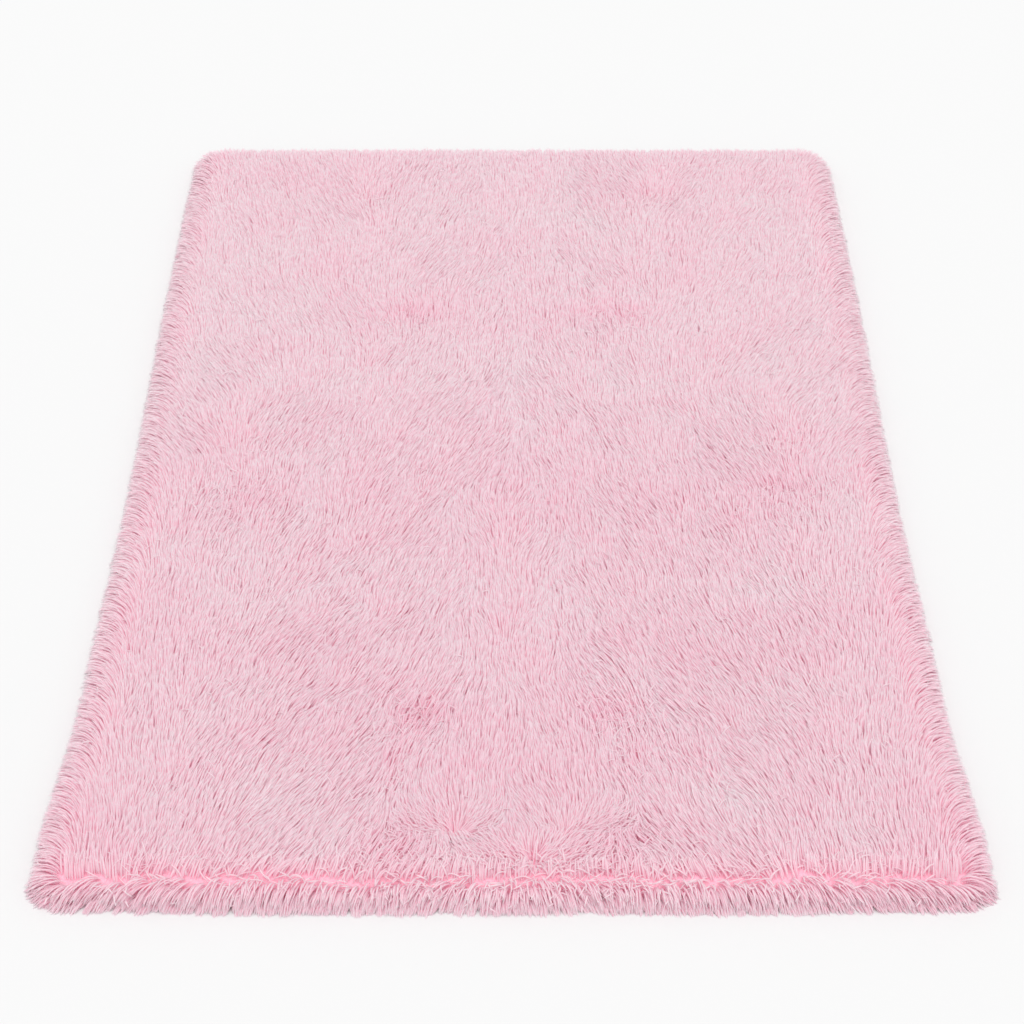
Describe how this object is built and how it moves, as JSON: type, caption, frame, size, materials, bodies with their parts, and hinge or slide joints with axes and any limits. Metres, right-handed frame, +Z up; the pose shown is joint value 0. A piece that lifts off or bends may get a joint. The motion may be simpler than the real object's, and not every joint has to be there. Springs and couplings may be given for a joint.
{
  "type": "shag rug",
  "caption": "Rectangular pink shag rug with rounded corners and long soft pile that rolls over its edges, lying flat on a floor.",
  "frame": {"origin": "middle of the underside, on the floor", "axes": "+Z up out of the pile, +Y along the rug's length towards the end that the pile leans to, +X across its width"},
  "size_m": [1.26, 1.83, 0.03],
  "materials": {
    "pile": "soft long pile, pale pink at the tips and deeper pink towards the roots"
  },
  "bodies": {
    "root": {"shag_rug": "pile"}
  },
  "joints": []
}
